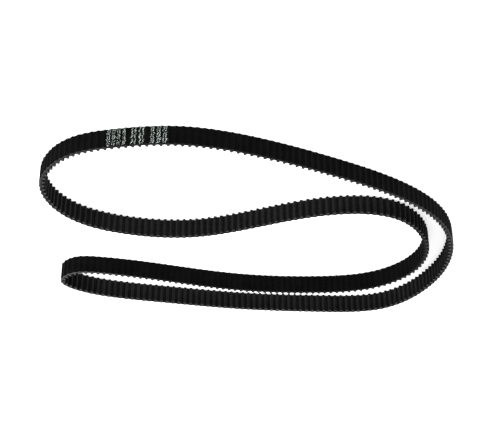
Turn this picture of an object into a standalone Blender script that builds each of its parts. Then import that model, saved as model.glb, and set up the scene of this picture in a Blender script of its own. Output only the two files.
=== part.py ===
"""Rubber timing belt, 3 mm pitch, 300 round teeth, 9 mm wide, standing on one cut edge.

The belt is one endless loop that lies in the bent, bean-like shape that it takes when nothing
drives it. Its layers follow the same route at different depths, from the smooth back to the
tooth tips: back rubber, two tension cords wound side by side, tooth rubber and tooth facing.
"""

import math

import bpy
import numpy as np

MM = 0.001

# Driving dimensions, in millimetres.
PITCH = 3.0
TEETH = 300
WIDTH = 9.0

# Depths from the pitch line, which the cords' centres follow: negative towards the smooth back.
BACK = -0.69
BACK_INNER = -0.24
CORD_RADIUS = 0.2
RUBBER_OUTER = 0.24
RUBBER_LAND = 0.42
FACING_OUTER_LAND = 0.46
FACING_LAND = 0.61
TOOTH_HEIGHT = 1.2
FACING_THICKNESS = FACING_LAND - FACING_OUTER_LAND
LAYER_GAP = 0.04

# Share of one pitch that a tooth takes at its root and at its tip.
ROOT_SHARE = 0.68
TIP_SHARE = 0.34

# The belt bends at the lands between its teeth. A straight stretch between two bends holds at
# most MOST_TEETH teeth, and fewer where the route would leave it by more than MOST_SAG.
MOST_TEETH = 5
MOST_SAG = 0.16

# Each cord is a helix. The two of them lie side by side, so one advances by two spacings a turn.
CORD_SPACING = 0.95
CORD_EDGE = 0.5
CORD_TURNS = {"tension_cord_s": 4.25, "tension_cord_z": 3.25}

# Printed marking: three groups along the back, each of three rows, by distance from the route's
# first point. The outer rows are nearly at the edges, as on a sleeve that is printed, then cut.
PRINT_GROUPS = {"a": (17.0, 26.0), "b": (27.4, 33.9), "c": (35.6, 43.3)}
PRINT_ROWS = {"low": (0.3, 2.9), "mid": (3.2, 5.8), "high": (6.1, 8.7)}
PRINT_LIFT = 0.02
PRINT_THICKNESS = 0.04

# The route of the pitch line, seen from above and travelled clockwise, in millimetres.
ROUTE = [
    (78.5, -65.2), (59.0, -71.5), (32.0, -73.5), (0.5, -66.0), (-34.5, -50.5), (-64.0, -33.5),
    (-88.3, -7.7), (-94.5, 15.0), (-88.2, 47.3), (-67.8, 70.9), (-36.0, 74.8), (7.0, 71.6),
    (45.0, 64.7), (73.0, 58.3), (87.5, 51.8), (94.5, 43.0), (90.0, 36.0), (75.5, 34.5),
    (47.0, 41.0), (9.0, 51.0), (-31.5, 54.0), (-64.0, 47.0), (-79.5, 29.5), (-79.5, 3.0),
    (-64.5, -15.5), (-34.0, -18.5), (0.0, -7.5), (27.5, 0.5), (58.5, -2.0), (83.5, -15.4),
    (93.4, -42.6),
]
ROUTE_STEPS = 200


def smooth_loop(points, steps):
    """A closed cubic spline through the points, as a dense run of steps points for each."""
    points = np.array(points)
    following = np.roll(points, -1, axis=0)
    length = np.hypot(*(following - points).T)[:, None]
    before = np.roll(length, 1)
    count = len(points)
    matrix = np.zeros((count, count))
    for i in range(count):
        matrix[i, i - 1] = length[i, 0]
        matrix[i, i] = 2 * (length[i, 0] + before[i, 0])
        matrix[i, (i + 1) % count] = before[i, 0]
    slope = (following - points) / length
    slopes = np.linalg.solve(matrix, 3 * (length * np.roll(slope, 1, axis=0) + before * slope))
    t = (np.arange(steps) / steps)[:, None, None]
    hermite = (
        (2 * t**3 - 3 * t**2 + 1) * points
        + (t**3 - 2 * t**2 + t) * length * slopes
        + (3 * t**2 - 2 * t**3) * following
        + (t**3 - t**2) * length * np.roll(slopes, -1, axis=0)
    )
    return hermite.transpose(1, 0, 2).reshape(-1, 2)


def distances(loop):
    """How far along the closed loop each point lies, with the whole length as one more value."""
    steps = np.hypot(*(np.roll(loop, -1, axis=0) - loop).T)
    return np.concatenate([[0.0], np.cumsum(steps)])


def lands():
    """The middle of each land between two teeth, on the pitch line, exactly one pitch apart."""
    loop = smooth_loop(ROUTE, ROUTE_STEPS)
    along = distances(loop)
    loop = loop * (PITCH * TEETH / along[-1])
    along = along * (PITCH * TEETH / along[-1])
    closed = np.vstack([loop, loop[:1]])
    at = PITCH * np.arange(TEETH)
    return np.stack([np.interp(at, along, closed[:, k]) for k in (0, 1)], axis=1)


def sag(points):
    """The furthest that the points between the ends lie from the straight line between the ends."""
    way = points[-1] - points[0]
    way = way / np.hypot(*way)
    off = points - points[0]
    return np.abs(off[:, 0] * way[1] - off[:, 1] * way[0]).max()


def bends(land):
    """Numbers of the lands at which the belt bends, so that every stretch holds whole teeth."""
    closed = np.vstack([land, land[:1]])
    chosen = [0]
    while chosen[-1] < TEETH:
        start = chosen[-1]
        reach = 1
        while (
            reach < MOST_TEETH
            and start + reach < TEETH
            and sag(closed[start : start + reach + 2]) < MOST_SAG
        ):
            reach += 1
        chosen.append(start + reach)
    return chosen


def mitres(corners):
    """For each corner of the closed route, the step that moves it one millimetre inwards."""
    way = np.roll(corners, -1, axis=0) - corners
    way = way / np.hypot(*way.T)[:, None]
    inward = np.stack([way[:, 1], -way[:, 0]], axis=1)
    both = inward + np.roll(inward, 1, axis=0)
    return 2 * both / (both**2).sum(axis=1)[:, None]


LAND = lands()
BENDS = bends(LAND)
STRETCH_TEETH = np.diff(BENDS)
CORNERS = LAND[BENDS[:-1]]
MITRES = mitres(CORNERS)

# The origin is the middle of the belt's box, so the route moves there.
outside = CORNERS + MITRES * BACK
CORNERS = CORNERS - (outside.min(axis=0) + outside.max(axis=0)) / 2


def plain_line(depth):
    """The closed outline of a smooth layer's face at this depth."""
    return CORNERS + MITRES * depth


def toothed_line(land_depth, height, root_share, tip_share):
    """The closed outline of a toothed face: four points for each tooth, between its two lands."""
    root, tip = root_share / 2, tip_share / 2
    shape = [(-root, 0.0), (-tip, height), (tip, height), (root, 0.0)]
    outline = []
    for i, teeth in enumerate(STRETCH_TEETH):
        start = CORNERS[i]
        way = CORNERS[(i + 1) % len(CORNERS)] - start
        along = way / np.hypot(*way)
        inward = np.array([along[1], -along[0]])
        for tooth in range(teeth):
            for share, rise in shape:
                outline.append(start + way * (tooth + 0.5 + share) / teeth + inward * (land_depth + rise))
    return np.array(outline)


def material(name, colour, roughness):
    """A Principled material of one colour, not metallic."""
    made = bpy.data.materials.new(name)
    made.use_nodes = True
    shader = made.node_tree.nodes["Principled BSDF"]
    shader.inputs["Base Color"].default_value = (*colour, 1.0)
    shader.inputs["Roughness"].default_value = roughness
    shader.inputs["Metallic"].default_value = 0.0
    return made


def plate(name, outlines, low, high, finish):
    """A flat piece: the area between closed outlines, from height low to height high."""
    curve = bpy.data.curves.new(name, "CURVE")
    curve.dimensions = "2D"
    curve.fill_mode = "BOTH"
    curve.extrude = (high - low) / 2 * MM
    for outline in outlines:
        spline = curve.splines.new("POLY")
        spline.points.add(len(outline) - 1)
        spline.use_cyclic_u = True
        for point, (x, y) in zip(spline.points, outline):
            point.co = (x * MM, y * MM, 0.0, 1.0)
    curve.materials.append(finish)
    piece = bpy.data.objects.new(name, curve)
    piece.location.z = (low + high) / 2 * MM
    belt.objects.link(piece)
    return piece


def cord(name, first_height, turns, finish):
    """One tension cord: a helix that climbs two spacings each time that it goes round the belt."""
    along = distances(CORNERS)
    closed = np.vstack([CORNERS, CORNERS[:1]])
    whole = int(turns)
    at = [turn * along[-1] + d for turn in range(whole) for d in along[:-1]]
    last = along[along < (turns - whole) * along[-1]]
    at += [whole * along[-1] + d for d in last] + [turns * along[-1]]
    curve = bpy.data.curves.new(name, "CURVE")
    curve.dimensions = "3D"
    curve.twist_mode = "Z_UP"
    curve.bevel_depth = CORD_RADIUS * MM
    curve.bevel_resolution = 0
    curve.use_fill_caps = True
    spline = curve.splines.new("POLY")
    spline.points.add(len(at) - 1)
    for point, distance in zip(spline.points, at):
        x, y = (np.interp(distance % along[-1], along, closed[:, k]) for k in (0, 1))
        z = first_height + 2 * CORD_SPACING * distance / along[-1]
        point.co = (x * MM, y * MM, z * MM, 1.0)
    curve.materials.append(finish)
    piece = bpy.data.objects.new(name, curve)
    belt.objects.link(piece)
    return piece


def along_back(start, end, depth):
    """The run of the back's outline, at this depth, between two distances along the route."""
    along = distances(CORNERS)
    line = plain_line(depth)
    line = np.vstack([line, line[:1]])
    at = [start, *(d for d in along if start < d < end), end]
    return np.stack([np.interp(at, along, line[:, k]) for k in (0, 1)], axis=1)


def ink_mark(group, row, finish):
    """One printed group in one row: a thin plate of ink that follows the back."""
    start, end = PRINT_GROUPS[group]
    low, high = PRINT_ROWS[row]
    inner = along_back(start, end, BACK - PRINT_LIFT)
    outer = along_back(start, end, BACK - PRINT_LIFT - PRINT_THICKNESS)
    outline = np.vstack([inner, outer[::-1]])
    return plate(f"print_{group}_{row}", [outline], low, high, finish)


for old in list(bpy.data.objects):
    bpy.data.objects.remove(old, do_unlink=True)

belt = bpy.data.collections.new("timing_belt")
bpy.context.scene.collection.children.link(belt)

back_rubber = material("back_rubber", (0.010, 0.010, 0.010), 0.48)
tooth_rubber = material("tooth_rubber", (0.012, 0.012, 0.012), 0.6)
facing_fabric = material("facing_fabric", (0.014, 0.014, 0.015), 0.75)
glass_cord = material("glass_cord", (0.55, 0.52, 0.44), 0.5)
ink = material("print_ink", (0.42, 0.46, 0.44), 0.6)

plate("back_rubber", [plain_line(BACK), plain_line(BACK_INNER)], 0.0, WIDTH, back_rubber)

for number, (name, turns) in enumerate(CORD_TURNS.items()):
    cord(name, CORD_EDGE + number * CORD_SPACING, turns, glass_cord)

# The facing is as thick on a tooth's flank as on a land, so what it covers is that much slimmer.
slimmer = (FACING_THICKNESS + LAYER_GAP) / PITCH
inner_face = toothed_line(FACING_OUTER_LAND, TOOTH_HEIGHT, ROOT_SHARE - slimmer, TIP_SHARE - slimmer)
rubber_face = toothed_line(RUBBER_LAND, TOOTH_HEIGHT, ROOT_SHARE - 2 * slimmer, TIP_SHARE - 2 * slimmer)
outer_face = toothed_line(FACING_LAND, TOOTH_HEIGHT, ROOT_SHARE, TIP_SHARE)

plate("tooth_rubber", [plain_line(RUBBER_OUTER), rubber_face], 0.0, WIDTH, tooth_rubber)
plate("tooth_facing", [inner_face, outer_face], 0.0, WIDTH, facing_fabric)

for group in PRINT_GROUPS:
    for row in PRINT_ROWS:
        ink_mark(group, row, ink)
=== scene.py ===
"""The looks of a rubber timing belt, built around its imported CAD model.

The belt's layers are made again as fine meshes that follow the same route as the CAD solids: the
back rubber with its low crests, the round teeth with their fabric facing, the twisted cords inside
and the stamped ink on the back. Lengths are in millimetres until a mesh is made.
"""

import math

import bpy
import numpy as np
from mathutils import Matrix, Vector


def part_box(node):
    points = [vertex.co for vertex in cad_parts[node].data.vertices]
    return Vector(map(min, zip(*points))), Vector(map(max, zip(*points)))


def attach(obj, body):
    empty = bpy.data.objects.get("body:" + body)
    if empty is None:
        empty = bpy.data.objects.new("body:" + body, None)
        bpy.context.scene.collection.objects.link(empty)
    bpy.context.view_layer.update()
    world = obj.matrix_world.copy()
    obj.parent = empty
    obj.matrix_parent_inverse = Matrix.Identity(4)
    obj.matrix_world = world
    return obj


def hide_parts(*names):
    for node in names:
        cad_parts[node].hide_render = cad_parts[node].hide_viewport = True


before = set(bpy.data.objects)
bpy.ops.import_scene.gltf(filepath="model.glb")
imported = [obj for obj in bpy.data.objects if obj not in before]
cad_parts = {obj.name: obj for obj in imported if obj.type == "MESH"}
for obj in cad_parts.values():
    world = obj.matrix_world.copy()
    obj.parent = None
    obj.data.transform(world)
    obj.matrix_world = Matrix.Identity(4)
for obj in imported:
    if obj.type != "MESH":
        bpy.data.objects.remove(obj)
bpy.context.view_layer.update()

MM = 0.001
PITCH = 3.0
TEETH = 300
LENGTH = PITCH * TEETH

# The frame gives the belt's width and its place.
LOW, HIGH = (np.array(corner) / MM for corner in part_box("back_rubber"))
FLOOR = LOW[2]
WIDTH = HIGH[2] - LOW[2]
MIDDLE = (LOW[:2] + HIGH[:2]) / 2

# Depths from the pitch line, which the cords' centres follow: negative towards the smooth back.
BACK = -0.69
RUBBER_SPLIT = 0.0
FACING_LAND = 0.61
FACING_THICKNESS = 0.15
BOND = 0.004

# The round tooth, and how the back rises to a crest behind it.
TOOTH_HEIGHT = 1.2
TIP_RADIUS = 0.64
ROOT_FILLET = 0.54
CREST_HEIGHT = 0.45
CREST_PROUD = 0.12
CREST_POWER = 1.1
EDGE_ROUND = 0.1
FACING_ROUND = 0.06

# How finely the faces are divided, and the angle, in degrees, from which an edge shows as sharp.
ROUND_STEPS = 4
FILLET_STEPS = 5
TIP_STEPS = 13
BACK_STEPS = 12
SHARP_ANGLE = 50

# A cut tooth carries a painted highlight in its middle: rows, as shares from the cords to the
# facing, and the depths between which the painted highlight comes in.
CUT_ROWS = (0.0, 0.3, 0.55, 0.75, 0.9, 1.0)
CORE_START = 0.25
CORE_FULL = 0.75

# How strong the painted highlight on the cut edges is, 0 to 1, at its least and at the spots'
# fullest.
CORE_HIGHLIGHT_LEAST = 0.3
CORE_HIGHLIGHT_MOST = 0.75
BACK_EDGE_HIGHLIGHT_LEAST = 0.08
BACK_EDGE_HIGHLIGHT_MOST = 0.75

# Spots where the painted highlight on the cut edges is stronger: distance along the belt, half
# length and amount.
RIM_HIGHLIGHT_SPOTS = ((205.0, 60.0, 0.45), (335.0, 32.0, 0.5), (452.0, 26.0, 1.0), (880.0, 35.0, 0.45))

# The two cords: how many times each goes round the belt, and which way it is twisted.
CORDS = {"s": (4.25, 1), "z": (3.25, -1)}
CORD_RADIUS = 0.2
CORD_SPACING = 0.95
CORD_EDGE = 0.5
CORD_STEP = 1.0
CORD_SIDES = 9
CORD_STRANDS = 3
CORD_LAY = 7.0
CORD_GROOVE = 0.25

# Printed groups: distances along the belt and how many cells each holds. Rows: heights.
PRINT_GROUPS = {"a": ((17.0, 26.0), 4), "b": ((27.4, 33.9), 2), "c": ((35.6, 43.3), 3)}
PRINT_ROWS = {"low": (0.3, 2.9), "mid": (3.2, 5.8), "high": (6.1, 8.7)}
INK_UNDER = 0.01
INK_OVER = -0.035
INK_SEED = 7

# Each printed cell is filled with dabs: so many along and up, half lengths in millimetres and half
# widths as shares of the cell. Each is turned, bent, shifted and uneven by up to so much.
DABS_ALONG = 2
DABS_UP = 3
DAB_LENGTH = (0.32, 0.62)
DAB_WIDTH = (0.042, 0.065)
DAB_TURN = 1.1
DAB_BEND = 0.2
DAB_SHIFT = 0.12
DAB_WOBBLE = 0.08
DAB_STEPS = 11
DAB_BLUNT = 8
DAB_ENDS = 0.12
CELL_FILL = 0.76
CELL_SLANT = -0.16

# Colours, linear.
BACK_DARK = (0.0012, 0.0012, 0.00125)
BACK_LIGHT = (0.0024, 0.0024, 0.00245)
CORE_DARK = (0.007, 0.007, 0.007)
CORE_LIGHT = (0.010, 0.010, 0.010)
DUST = (0.014, 0.014, 0.0135)
# The next colour is the painted highlight on the rubber's cut edges.
EDGE_HIGHLIGHT_COLOUR = (0.22, 0.22, 0.21)
FACING_DARK = (0.004, 0.004, 0.0042)
FACING_LIGHT = (0.008, 0.008, 0.0082)
# The next colour is a painted highlight on the weave's thread tops.
FACING_THREAD_TOP_HIGHLIGHT = (0.014, 0.014, 0.0145)
FACING_CUT = (0.012, 0.012, 0.012)
GLASS_DARK = (0.42, 0.40, 0.33)
GLASS_LIGHT = (0.66, 0.64, 0.56)
INK_FULL = (0.44, 0.515, 0.48)
INK_THIN = (0.10, 0.125, 0.11)
WHITE = (1.0, 1.0, 1.0, 1.0)
FLOOR_COLOUR = (0.93, 0.93, 0.93)

# How strongly the finishes shine.
RUBBER_SPECULAR = 0.045
FABRIC_SPECULAR = 0.03
GLASS_SPECULAR = 0.4
INK_SPECULAR = 0.2
FABRIC_SHEEN = 0.04
FABRIC_SHEEN_ROUGHNESS = 0.5
RUBBER_ROUGHNESS = (0.75, 0.95)
FABRIC_ROUGHNESS = 0.7
GLASS_ROUGHNESS = 0.5
INK_ROUGHNESS = 0.6
FLOOR_ROUGHNESS = 0.9

# Sizes of the finishes' patterns, and how far the fine ones stand proud.
GRAIN_SIZE = 0.09
GRAIN_DEPTH = 0.012
CLOUD_SIZE = 9.0
DUST_SIZE = 0.35
SAW_SIZE = 0.12
THREAD_PITCH = 0.22
WEAVE_DEPTH = 0.03
FABRIC_CLOUD_SIZE = 4.0
LINT_SIZE = 0.5
FIBRE_SIZE = 0.05
FIBRE_DEPTH = 0.01
INK_PATCH_SIZE = 1.1
INK_GRAIN_SIZE = 0.1
INK_DEPTH = 0.01

# Floor, lights (place in metres, size, watts) and camera. The world shows whiter than it lights.
FLOOR_SIZE = 30.0
FLOOR_GAP = 0.00002
WORLD_STRENGTH = 0.25
WORLD_SEEN = 1.0
FLOOR_GLOW = 0.55
SOFTBOXES = (
    ("overhead", (0.0, 0.25, 1.6), 1.2, 10.0),
    ("side", (1.4, -0.7, 0.9), 0.4, 34.0),
    ("far_side", (-1.5, 0.2, 0.55), 0.4, 26.0),
)
CAMERA_PLACE = (0.00632, -0.4931, 0.30945)
CAMERA_TILT = 32.0
CAMERA_LENS = 93.15
CAMERA_SENSOR = 36.0
CAMERA_CLIP = 0.01

# The route of the pitch line, as in the CAD model.
ROUTE = [
    (78.5, -65.2), (59.0, -71.5), (32.0, -73.5), (0.5, -66.0), (-34.5, -50.5), (-64.0, -33.5),
    (-88.3, -7.7), (-94.5, 15.0), (-88.2, 47.3), (-67.8, 70.9), (-36.0, 74.8), (7.0, 71.6),
    (45.0, 64.7), (73.0, 58.3), (87.5, 51.8), (94.5, 43.0), (90.0, 36.0), (75.5, 34.5),
    (47.0, 41.0), (9.0, 51.0), (-31.5, 54.0), (-64.0, 47.0), (-79.5, 29.5), (-79.5, 3.0),
    (-64.5, -15.5), (-34.0, -18.5), (0.0, -7.5), (27.5, 0.5), (58.5, -2.0), (83.5, -15.4),
    (93.4, -42.6),
]
ROUTE_STEPS = 400


# ---------------------------------------------------------------- route


def smooth_loop(points, steps):
    """A closed cubic spline through the points, as a dense run of steps points for each."""
    points = np.array(points)
    following = np.roll(points, -1, axis=0)
    length = np.hypot(*(following - points).T)[:, None]
    before = np.roll(length, 1)
    count = len(points)
    matrix = np.zeros((count, count))
    for i in range(count):
        matrix[i, i - 1] = length[i, 0]
        matrix[i, i] = 2 * (length[i, 0] + before[i, 0])
        matrix[i, (i + 1) % count] = before[i, 0]
    slope = (following - points) / length
    slopes = np.linalg.solve(matrix, 3 * (length * np.roll(slope, 1, axis=0) + before * slope))
    t = (np.arange(steps) / steps)[:, None, None]
    hermite = (
        (2 * t**3 - 3 * t**2 + 1) * points
        + (t**3 - 2 * t**2 + t) * length * slopes
        + (3 * t**2 - 2 * t**3) * following
        + (t**3 - t**2) * length * np.roll(slopes, -1, axis=0)
    )
    return hermite.transpose(1, 0, 2).reshape(-1, 2)


class Route:
    """The closed pitch line: where it is, and which way is inwards, at any distance along it."""

    def __init__(self):
        loop = smooth_loop(ROUTE, ROUTE_STEPS)
        steps = np.hypot(*(np.roll(loop, -1, axis=0) - loop).T)
        along = np.concatenate([[0.0], np.cumsum(steps)])
        scale = LENGTH / along[-1]
        loop = loop * scale
        way = np.roll(loop, -1, axis=0) - np.roll(loop, 1, axis=0)
        way = way / np.hypot(*way.T)[:, None]
        inward = np.stack([way[:, 1], -way[:, 0]], axis=1)
        outside = loop + inward * BACK
        loop = loop - (outside.min(axis=0) + outside.max(axis=0)) / 2 + MIDDLE
        self.along = along * scale
        values = np.hstack([loop, inward])
        self.values = np.vstack([values, values[:1]])

    def place(self, along, depth, height):
        """World coordinates, in metres, of points given along the belt, by depth and by height."""
        along, depth, height = np.broadcast_arrays(along, depth, height)
        x, y, inward_x, inward_y = (
            np.interp(along % LENGTH, self.along, self.values[:, k]) for k in range(4)
        )
        return np.stack([x + inward_x * depth, y + inward_y * depth, FLOOR + height], axis=-1) * MM


route = Route()


# ---------------------------------------------------------------- meshes


def new_piece(name, vertices, faces, finish):
    """A smooth-shaded mesh object that rides on the belt's one body."""
    mesh = bpy.data.meshes.new(name)
    mesh.from_pydata(vertices.reshape(-1, 3), [], faces)
    mesh.materials.append(finish)
    mesh.shade_smooth()
    mesh.set_sharp_from_angle(angle=math.radians(SHARP_ANGLE))
    piece = bpy.data.objects.new(name, mesh)
    bpy.context.scene.collection.objects.link(piece)
    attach(piece, "root")
    return piece


def grid_faces(rows, columns, closed):
    """Quads of a grid that is closed across its columns and, if closed is true, across its rows."""
    i, j = np.meshgrid(np.arange(rows if closed else rows - 1), np.arange(columns), indexing="ij")
    i, j = i.ravel(), j.ravel()
    below, beside = (i + 1) % rows, (j + 1) % columns
    corners = [i * columns + j, i * columns + beside, below * columns + beside, below * columns + j]
    return np.stack(corners, axis=1).tolist()


def tube_faces(rows, columns):
    """Faces of a closed tube of rows sections of columns points, with a flat face at each end."""
    faces = grid_faces(rows, columns, closed=False)
    faces.append(list(range(columns))[::-1])
    faces.append([(rows - 1) * columns + k for k in range(columns)])
    return faces


def ring(name, along, depth, height, surface, cut, finish):
    """A closed ring round the belt, from grids of station by section point.

    surface is the distance along the face, for the weave, and cut is how far a point lies on a cut
    edge; on the rubber it is the share of painted highlight there.
    """
    grids = np.broadcast_arrays(along, depth, height, surface, cut)
    along, depth, height, surface, cut = grids
    faces = grid_faces(*along.shape, closed=True)
    piece = new_piece(name, route.place(along, depth, height), faces, finish)
    pale = piece.data.attributes.new("cut", "FLOAT", "POINT")
    pale.data.foreach_set("value", cut.astype(np.float32).ravel())
    thread = piece.data.attributes.new("thread", "FLOAT_VECTOR", "POINT")
    place = np.stack([surface, height, depth], axis=-1)
    thread.data.foreach_set("vector", place.astype(np.float32).ravel())
    return piece


def rounded_levels(radius):
    """Heights up one face of the belt, and how far each is drawn in by the rounded cut edges."""
    turn = np.linspace(0, math.pi / 2, ROUND_STEPS)
    rise = radius * (1 - np.cos(turn))
    drawn = radius * (1 - np.sin(turn))
    return np.concatenate([rise, WIDTH - rise[::-1]]), np.concatenate([drawn, drawn[::-1]])


# ---------------------------------------------------------------- shapes of the belt's faces


def tooth_face(offset):
    """One pitch of the round-toothed face, moved by offset into the belt: shifts and depths."""
    centre = FACING_LAND + TOOTH_HEIGHT - TIP_RADIUS
    foot = TIP_RADIUS + ROOT_FILLET
    turn = np.linspace(math.pi / 2, 0, FILLET_STEPS)
    fillet = ROOT_FILLET + offset
    height = FACING_LAND + ROOT_FILLET - fillet * np.sin(turn)
    rising = np.stack([fillet * np.cos(turn) - foot, height], axis=1)
    swing = np.linspace(-math.pi / 2, math.pi / 2, TIP_STEPS)
    tip = TIP_RADIUS - offset
    top = np.stack([tip * np.sin(swing), centre + tip * np.cos(swing)], axis=1)
    falling = rising[::-1] * [-1, 1]
    land = [(-PITCH / 2, FACING_LAND - offset)]
    return np.vstack([land, rising, top, falling])


def round_belt(profile):
    """A profile of one pitch, repeated for every tooth: places along the belt, and depths."""
    middles = PITCH * (np.arange(TEETH) + 0.5)
    along = (middles[:, None] + profile[:, 0]).reshape(-1, 1)
    depth = np.tile(profile[:, 1], TEETH).reshape(-1, 1)
    return along, depth


def back_depth(along):
    """The depth of the smooth back, which comes to a low crest behind each tooth."""
    dip = np.abs(np.cos(math.pi * along / PITCH)) ** CREST_POWER
    return BACK - CREST_PROUD + CREST_HEIGHT * dip


def rim_highlight(along):
    """How strong the painted highlight on the cut edges is, 0 to 1, at a distance along the belt.
    """
    total = np.zeros_like(along)
    for middle, half_length, amount in RIM_HIGHLIGHT_SPOTS:
        away = (along - middle + LENGTH / 2) % LENGTH - LENGTH / 2
        total += amount * np.exp(-((away / half_length) ** 2))
    return np.clip(total, 0, 1)


# ---------------------------------------------------------------- materials


class Finish:
    """A Principled material and the nodes that feed it."""

    def __init__(self, name, roughness, specular):
        self.material = bpy.data.materials.new(name)
        self.material.use_nodes = True
        self.nodes = self.material.node_tree.nodes
        self.shader = self.nodes["Principled BSDF"]
        self.shader.inputs["Roughness"].default_value = roughness
        self.shader.inputs["Specular IOR Level"].default_value = specular
        self.place = self.nodes.new("ShaderNodeTexCoord").outputs["Object"]

    def link(self, source, target):
        self.material.node_tree.links.new(source, target)

    def attribute(self, name, output):
        node = self.nodes.new("ShaderNodeAttribute")
        node.attribute_name = name
        return node.outputs[output]

    def noise(self, size, detail=3.0):
        """Noise with features of about size millimetres, 0 to 1."""
        node = self.nodes.new("ShaderNodeTexNoise")
        node.inputs["Scale"].default_value = 1.0
        node.inputs["Detail"].default_value = detail
        scaled = self.nodes.new("ShaderNodeVectorMath")
        scaled.operation = "MULTIPLY"
        scaled.inputs[1].default_value = [1 / (size * MM)] * 3
        self.link(self.place, scaled.inputs[0])
        self.link(scaled.outputs["Vector"], node.inputs["Vector"])
        return node.outputs["Fac"]

    def math(self, operation, *values):
        node = self.nodes.new("ShaderNodeMath")
        node.operation = operation
        for socket, value in zip(node.inputs, values):
            if isinstance(value, (int, float)):
                socket.default_value = value
            else:
                self.link(value, socket)
        return node.outputs["Value"]

    def spread(self, value, low, high, to_low=0.0, to_high=1.0):
        """value mapped smoothly from low..high to to_low..to_high, and held at the ends."""
        node = self.nodes.new("ShaderNodeMapRange")
        node.interpolation_type = "SMOOTHSTEP"
        for socket, number in zip(list(node.inputs)[1:5], (low, high, to_low, to_high)):
            socket.default_value = number
        self.link(value, node.inputs["Value"])
        return node.outputs["Result"]

    def mix(self, share, first, second):
        """A colour between first and second, each a colour or a socket."""
        node = self.nodes.new("ShaderNodeMix")
        node.data_type = "RGBA"
        self.link(share, node.inputs["Factor"])
        for socket, colour in zip((node.inputs[6], node.inputs[7]), (first, second)):
            if isinstance(colour, tuple):
                socket.default_value = (*colour, 1.0)
            else:
                self.link(colour, socket)
        return node.outputs[2]

    def bump(self, height, distance):
        """A bump of height 0 to 1 that stands distance millimetres proud."""
        node = self.nodes.new("ShaderNodeBump")
        node.inputs["Distance"].default_value = distance * MM
        self.link(height, node.inputs["Height"])
        self.link(node.outputs["Normal"], self.shader.inputs["Normal"])

    def colour(self, source):
        self.link(source, self.shader.inputs["Base Color"])

    def roughness(self, source):
        self.link(source, self.shader.inputs["Roughness"])


def rubber_finish(name, dark, light):
    """Matte black rubber: a finely ground face with faint dust, and a painted highlight on the cut
    edge, broken up by saw marks.
    """
    finish = Finish(name, RUBBER_ROUGHNESS[0], RUBBER_SPECULAR)
    grain = finish.noise(GRAIN_SIZE, detail=4.0)
    cloud = finish.noise(CLOUD_SIZE, detail=2.0)
    face = finish.mix(finish.spread(cloud, 0.35, 0.7), dark, light)
    dust = finish.spread(finish.noise(DUST_SIZE, detail=5.0), 0.66, 0.8, to_high=0.35)
    face = finish.mix(dust, face, DUST)
    saw = finish.spread(finish.noise(SAW_SIZE, detail=4.0), 0.3, 0.7, to_low=0.45)
    # Cut edges are mixed towards a painted highlight, broken up by saw marks.
    share = finish.math("MULTIPLY", finish.attribute("cut", "Fac"), saw)
    finish.colour(finish.mix(share, face, EDGE_HIGHLIGHT_COLOUR))
    finish.roughness(finish.spread(grain, 0.3, 0.7, *RUBBER_ROUGHNESS))
    finish.bump(grain, GRAIN_DEPTH)
    return finish.material


def facing_finish():
    """Black woven nylon, twill threads across and along the belt, pressed into rubber."""
    finish = Finish("facing_fabric", FABRIC_ROUGHNESS, FABRIC_SPECULAR)
    thread = finish.attribute("thread", "Vector")
    split = finish.nodes.new("ShaderNodeSeparateXYZ")
    finish.link(thread, split.inputs["Vector"])
    turns = 2 * math.pi / THREAD_PITCH
    along = finish.math("MULTIPLY", split.outputs["X"], turns)
    across = finish.math("MULTIPLY", split.outputs["Y"], turns)
    twill = finish.math("SINE", finish.math("ADD", along, across))
    weft = finish.math("ABSOLUTE", finish.math("SINE", finish.math("MULTIPLY", across, 0.5)))
    warp = finish.math("ABSOLUTE", finish.math("SINE", finish.math("MULTIPLY", along, 0.5)))
    over = finish.spread(twill, -0.4, 0.4)
    weave = finish.nodes.new("ShaderNodeMix")
    finish.link(over, weave.inputs["Factor"])
    finish.link(weft, weave.inputs[2])
    finish.link(warp, weave.inputs[3])
    height = weave.outputs[0]
    cloud = finish.noise(FABRIC_CLOUD_SIZE)
    valley = finish.mix(finish.spread(cloud, 0.35, 0.7), FACING_DARK, FACING_LIGHT)
    lint = finish.spread(finish.noise(LINT_SIZE, detail=5.0), 0.66, 0.82, to_high=0.4)
    # Thread tops get a painted highlight by weave height, leaving painted shade in the hollows.
    face = finish.mix(finish.math("MULTIPLY", height, 0.6), valley, FACING_THREAD_TOP_HIGHLIGHT)
    face = finish.mix(lint, face, DUST)
    finish.colour(finish.mix(finish.attribute("cut", "Fac"), face, FACING_CUT))
    finish.shader.inputs["Sheen Weight"].default_value = FABRIC_SHEEN
    finish.shader.inputs["Sheen Roughness"].default_value = FABRIC_SHEEN_ROUGHNESS
    finish.bump(height, WEAVE_DEPTH)
    return finish.material


def cord_finish():
    """Glass-fibre strands, off-white under a thin adhesive coat."""
    finish = Finish("glass_cord", GLASS_ROUGHNESS, GLASS_SPECULAR)
    fibre = finish.noise(FIBRE_SIZE)
    finish.colour(finish.mix(fibre, GLASS_DARK, GLASS_LIGHT))
    finish.bump(fibre, FIBRE_DEPTH)
    return finish.material


def ink_finish():
    """Pale stamped ink, thin in patches so that the rubber shows through."""
    finish = Finish("print_ink", INK_ROUGHNESS, INK_SPECULAR)
    patch = finish.spread(finish.noise(INK_PATCH_SIZE, detail=5.0), 0.36, 0.6)
    finish.colour(finish.mix(patch, INK_THIN, INK_FULL))
    finish.bump(finish.noise(INK_GRAIN_SIZE), INK_DEPTH)
    return finish.material


def glowing_finish(name, colour, glow):
    """A matte white that also gives off a little light, as a lit backdrop does."""
    finish = Finish(name, FLOOR_ROUGHNESS, specular=0.0)
    finish.shader.inputs["Base Color"].default_value = (*colour, 1.0)
    finish.shader.inputs["Emission Color"].default_value = WHITE
    finish.shader.inputs["Emission Strength"].default_value = glow
    return finish.material


# ---------------------------------------------------------------- the belt's pieces


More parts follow.
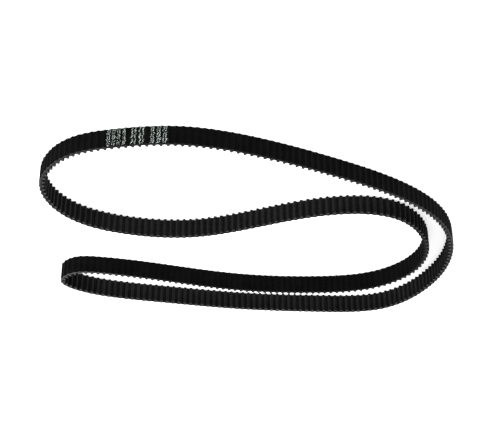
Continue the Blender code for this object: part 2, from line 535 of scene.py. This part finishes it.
def make_facing(finish):
    """The fabric over the teeth: a thin shell whose outer face is rounded at both cut edges."""
    heights, drawn = rounded_levels(FACING_ROUND)
    columns = [tooth_face(inset) for inset in drawn[::-1]]
    levels = list(heights[::-1])
    inner = tooth_face(FACING_THICKNESS)
    columns += [inner, inner]
    levels += [0.0, WIDTH]
    cut = [1.0] + [0.0] * (len(drawn) - 2) + [1.0] * 3
    along, depth = (np.hstack([round_belt(column)[k] for column in columns]) for k in range(2))
    outer = tooth_face(0.0)
    steps = np.hypot(*np.diff(np.vstack([outer, outer[:1] + [PITCH, 0]]), axis=0).T)
    reached = np.concatenate([[0.0], np.cumsum(steps)])
    surface = (np.arange(TEETH)[:, None] * reached[-1] + reached[:-1]).reshape(-1, 1)
    return ring("fabric_facing", along, depth, np.array(levels), surface, np.array(cut), finish)


def make_tooth_rubber(finish):
    """The rubber of the teeth, from the cords to the facing, with a painted highlight in its cut
    middles.
    """
    face = tooth_face(FACING_THICKNESS + BOND)
    even = np.linspace(-PITCH / 2, PITCH / 2, len(face) + 1)[:-1]
    base = np.stack([(even + face[:, 0]) / 2, np.full(len(face), RUBBER_SPLIT + BOND)], axis=1)
    rows = np.array(CUT_ROWS)
    down = list(rows[::-1])
    shares = down + list(rows)
    levels = [0.0] * len(rows) + [WIDTH] * len(rows)
    columns = [base + (face - base) * share for share in shares]
    along, depth = (np.hstack([round_belt(column)[k] for column in columns]) for k in range(2))
    share = np.array(shares)
    # Painted highlight in the teeth's cut middles, stronger at the highlight spots along the belt.
    inside = np.clip((depth - CORE_START) / (CORE_FULL - CORE_START), 0, 1) * (share < 1)
    cut = inside * (CORE_HIGHLIGHT_LEAST + (CORE_HIGHLIGHT_MOST - CORE_HIGHLIGHT_LEAST) * rim_highlight(along))
    return ring("tooth_rubber_body", along, depth, np.array(levels), along, cut, finish)


def make_back(finish):
    """The back rubber, from the cords out to the crested back, rounded at both cut edges."""
    along = np.linspace(0, LENGTH, TEETH * BACK_STEPS, endpoint=False).reshape(-1, 1)
    heights, drawn = rounded_levels(EDGE_ROUND)
    outer = back_depth(along) + drawn
    base = np.full_like(along, RUBBER_SPLIT - BOND)
    middle = (base + outer[:, :1]) / 2
    depth = np.hstack([base, base, middle, outer, middle])
    height = np.concatenate([[WIDTH, 0.0, 0.0], heights, [WIDTH]])
    # The back's cut edges carry a painted highlight, stronger at the highlight spots along the
    # belt.
    edge = (height < EDGE_ROUND / 2) | (height > WIDTH - EDGE_ROUND / 2)
    cut = edge * (BACK_EDGE_HIGHLIGHT_LEAST + (BACK_EDGE_HIGHLIGHT_MOST - BACK_EDGE_HIGHLIGHT_LEAST) * rim_highlight(along))
    return ring("back_rubber_body", along, depth, height, along, cut, finish)


def make_cord(name, first_height, turns, twist, finish):
    """One tension cord, twisted from strands, climbing two spacings for each time round."""
    count = int(turns * LENGTH / CORD_STEP)
    along = np.linspace(0, turns * LENGTH, count)[:, None]
    around = np.linspace(0, 2 * math.pi, CORD_SIDES, endpoint=False)[None, :]
    turned = around + twist * 2 * math.pi * along / CORD_LAY
    radius = CORD_RADIUS * (1 - CORD_GROOVE * (1 - np.abs(np.cos(CORD_STRANDS / 2 * around))))
    height = first_height + 2 * CORD_SPACING * along / LENGTH
    sections = route.place(along, radius * np.cos(turned), height + radius * np.sin(turned))
    return new_piece(name, sections[:, ::-1], tube_faces(count, CORD_SIDES), finish)


def dab_sections(middle, turn, half_length, widths, bend):
    """Five-sided sections of one bent dab of ink on the back, blunt at both ends."""
    reach = np.linspace(-1, 1, DAB_STEPS)[:, None]
    way = np.array([math.cos(turn), math.sin(turn)])
    side = np.array([-way[1], way[0]])
    swell = widths[:, None] * np.sqrt(1 + DAB_ENDS - reach**DAB_BLUNT)
    line = middle + half_length * reach * way + bend * (1 - reach**2) * side
    corners = ((-1, INK_UNDER), (-1, INK_OVER), (0, INK_OVER), (1, INK_OVER), (1, INK_UNDER))
    sections = []
    for edge, lift in corners:
        along, height = (line + edge * swell * side).T
        sections.append(route.place(along, back_depth(along) + lift, height))
    return np.stack(sections, axis=1)


def make_mark(group, row, finish, draw):
    """One printed group in one row: cells filled with slanted dabs, which spell nothing."""
    (start, end), cells = PRINT_GROUPS[group]
    low, high = PRINT_ROWS[row]
    cell = (end - start) / cells
    vertices, faces = [], []
    for number in range(cells * DABS_ALONG * DABS_UP):
        across, up = divmod(number, DABS_UP)
        column, side = divmod(across, DABS_ALONG)
        level = (up + 0.5) / DABS_UP
        left = (1 - CELL_FILL) / 2 + CELL_FILL * (side + 0.5) / DABS_ALONG
        middle = np.array([start + cell * (column + left), low + (high - low) * level])
        middle[0] += CELL_SLANT * (high - low) * (level - 0.5)
        middle += draw.uniform(-DAB_SHIFT, DAB_SHIFT, 2)
        turn = math.pi / 2 + draw.uniform(-DAB_TURN, DAB_TURN)
        half_width = cell * draw.uniform(*DAB_WIDTH)
        widths = half_width * (1 + draw.uniform(-DAB_WOBBLE, DAB_WOBBLE, DAB_STEPS))
        bend = draw.uniform(-DAB_BEND, DAB_BEND)
        sections = dab_sections(middle, turn, draw.uniform(*DAB_LENGTH), widths, bend)
        shell = tube_faces(*sections.shape[:2])
        first = sum(len(block) for block in vertices)
        faces += [[first + k for k in face] for face in shell]
        vertices.append(sections.reshape(-1, 3))
    return new_piece(f"ink_{group}_{row}", np.vstack(vertices), faces, finish)


# ---------------------------------------------------------------- build

rubber = rubber_finish("back_rubber", BACK_DARK, BACK_LIGHT)
core_rubber = rubber_finish("tooth_rubber", CORE_DARK, CORE_LIGHT)
fabric = facing_finish()
glass = cord_finish()
ink = ink_finish()

back = make_back(rubber)
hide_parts("back_rubber")

teeth = make_tooth_rubber(core_rubber)
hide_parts("tooth_rubber")

facing = make_facing(fabric)
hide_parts("tooth_facing")

for number, (letter, (turns, twist)) in enumerate(CORDS.items()):
    first_height = CORD_EDGE + number * CORD_SPACING
    strand = make_cord(f"cord_{letter}_twist", first_height, turns, twist, glass)
    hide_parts(f"tension_cord_{letter}")

draw = np.random.default_rng(INK_SEED)
for group in PRINT_GROUPS:
    for row in PRINT_ROWS:
        mark = make_mark(group, row, ink, draw)
        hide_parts(f"print_{group}_{row}")


# ---------------------------------------------------------------- floor, light and camera

bpy.ops.mesh.primitive_plane_add(size=FLOOR_SIZE, location=(0, 0, FLOOR * MM - FLOOR_GAP))
floor = bpy.context.object
floor.name = "studio_floor"
floor.data.materials.append(glowing_finish("white_floor", FLOOR_COLOUR, FLOOR_GLOW))


def softbox(name, place, size, power):
    """An area light at place, facing the belt."""
    lamp = bpy.data.lights.new(name, "AREA")
    lamp.size = size
    lamp.energy = power
    box = bpy.data.objects.new(name, lamp)
    box.location = place
    towards = -np.array(place)
    box.rotation_euler = (
        math.atan2(math.hypot(towards[0], towards[1]), -towards[2]),
        0,
        math.atan2(towards[1], towards[0]) - math.pi / 2,
    )
    bpy.context.scene.collection.objects.link(box)


for name, place, size, power in SOFTBOXES:
    softbox(name, place, size, power)


def studio_world():
    """A white backdrop all round, which lights the scene less than it shows."""
    world = bpy.data.worlds.new("studio")
    world.use_nodes = True
    nodes, links = world.node_tree.nodes, world.node_tree.links
    background = nodes["Background"]
    background.inputs["Color"].default_value = WHITE
    path = nodes.new("ShaderNodeLightPath")
    strength = nodes.new("ShaderNodeMapRange")
    strength.inputs["To Min"].default_value = WORLD_STRENGTH
    strength.inputs["To Max"].default_value = WORLD_SEEN
    links.new(path.outputs["Is Camera Ray"], strength.inputs["Value"])
    links.new(strength.outputs["Result"], background.inputs["Strength"])
    return world


bpy.context.scene.world = studio_world()
bpy.context.scene.view_settings.view_transform = "Standard"

# The reference view is rolled by half a turn, so the belt seems to hang from the floor.
camera = bpy.data.objects.new("camera", bpy.data.cameras.new("camera"))
camera.data.sensor_width = CAMERA_SENSOR
camera.data.lens = CAMERA_LENS
camera.data.clip_start = CAMERA_CLIP
camera.location = CAMERA_PLACE
camera.rotation_euler = (math.radians(CAMERA_TILT - 90), 0, math.pi)
bpy.context.scene.collection.objects.link(camera)
bpy.context.scene.camera = camera
